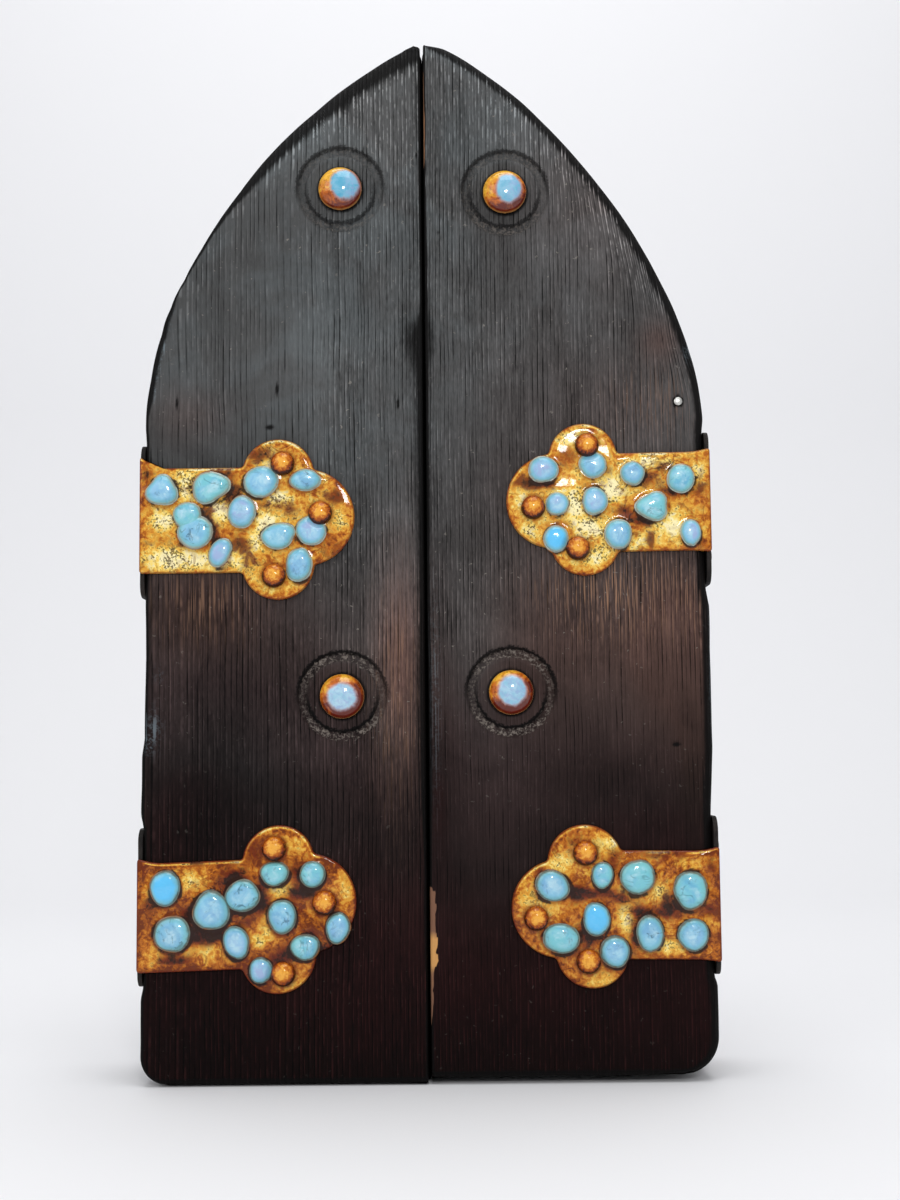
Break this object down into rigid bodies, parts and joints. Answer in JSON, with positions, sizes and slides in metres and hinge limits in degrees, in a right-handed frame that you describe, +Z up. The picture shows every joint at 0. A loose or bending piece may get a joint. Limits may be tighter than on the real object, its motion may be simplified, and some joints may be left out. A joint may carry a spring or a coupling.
{
  "type": "enamel icon triptych",
  "caption": "Pointed-arch devotional triptych of scorched pine whose doors swing on leather hinges, with amber enamel straps, turquoise glass drops, domed nails and studs.",
  "frame": {"origin": "middle of the centre panel's foot, halfway through the panel's thickness", "axes": "+Z up along the height, -Y towards the front where the doors are, +X to the viewer's right"},
  "size_m": [0.2068, 0.0585, 0.3726],
  "materials": {
    "scorched_pine": "scorched, brushed, satin",
    "amber_enamel": "gloss transparent enamel over foil",
    "copper_nail": "enamelled copper dome",
    "stud_enamel": "gloss enamel with opal glass",
    "black_leather": "worn matt",
    "dark_iron": "blackened",
    "grey_steel": "dull bright",
    "icon_enamel": "gloss enamel"
  },
  "bodies": {
    "centre": {"centre_panel": "scorched_pine", "icon_plaque": "icon_enamel", "icon_nail_1": "copper_nail", "icon_nail_2": "copper_nail", "icon_nail_3": "copper_nail", "icon_nail_4": "copper_nail", "leather_hinge_upper_left": "black_leather", "leather_hinge_upper_right": "black_leather", "leather_hinge_lower_left": "black_leather", "leather_hinge_lower_right": "black_leather", "hinge_tack_upper_left_panel_1": "dark_iron", "hinge_tack_upper_left_panel_2": "dark_iron", "hinge_tack_upper_right_panel_1": "dark_iron", "hinge_tack_upper_right_panel_2": "dark_iron", "hinge_tack_lower_left_panel_1": "dark_iron", "hinge_tack_lower_left_panel_2": "dark_iron", "hinge_tack_lower_right_panel_1": "dark_iron", "hinge_tack_lower_right_panel_2": "dark_iron"},
    "left_leaf": {"left_door": "scorched_pine", "strap_upper_left": "amber_enamel", "strap_lower_left": "amber_enamel", "strap_nail_upper_left_1": "copper_nail", "strap_nail_upper_left_2": "copper_nail", "strap_nail_upper_left_3": "copper_nail", "strap_nail_lower_left_1": "copper_nail", "strap_nail_lower_left_2": "copper_nail", "strap_nail_lower_left_3": "copper_nail", "stud_upper_left": "stud_enamel", "stud_lower_left": "stud_enamel", "hinge_tack_upper_left_door_1": "dark_iron", "hinge_tack_upper_left_door_2": "dark_iron", "hinge_tack_lower_left_door_1": "dark_iron", "hinge_tack_lower_left_door_2": "dark_iron", "wing_plaque_left": "icon_enamel", "wing_nail_left_1": "copper_nail", "wing_nail_left_2": "copper_nail", "wing_nail_left_3": "copper_nail", "wing_nail_left_4": "copper_nail"},
    "right_leaf": {"right_door": "scorched_pine", "strap_upper_right": "amber_enamel", "strap_lower_right": "amber_enamel", "strap_nail_upper_right_1": "copper_nail", "strap_nail_upper_right_2": "copper_nail", "strap_nail_upper_right_3": "copper_nail", "strap_nail_lower_right_1": "copper_nail", "strap_nail_lower_right_2": "copper_nail", "strap_nail_lower_right_3": "copper_nail", "stud_upper_right": "stud_enamel", "stud_lower_right": "stud_enamel", "hinge_tack_upper_right_door_1": "dark_iron", "hinge_tack_upper_right_door_2": "dark_iron", "hinge_tack_lower_right_door_1": "dark_iron", "hinge_tack_lower_right_door_2": "dark_iron", "brad": "grey_steel", "wing_plaque_right": "icon_enamel", "wing_nail_right_1": "copper_nail", "wing_nail_right_2": "copper_nail", "wing_nail_right_3": "copper_nail", "wing_nail_right_4": "copper_nail"}
  },
  "joints": [
    {"name": "left_leaf_hinge", "type": "hinge", "parent": "centre", "child": "left_leaf", "pos_m": [-0.1021, -0.0165, 0.13], "axis": [0, 0, -1], "range_deg": [0, 160], "deforming": ["leather_hinge_upper_left", "leather_hinge_lower_left"]},
    {"name": "right_leaf_hinge", "type": "hinge", "parent": "centre", "child": "right_leaf", "pos_m": [0.1021, -0.0165, 0.13], "axis": [0, 0, 1], "range_deg": [0, 160], "deforming": ["leather_hinge_upper_right", "leather_hinge_lower_right"]}
  ]
}
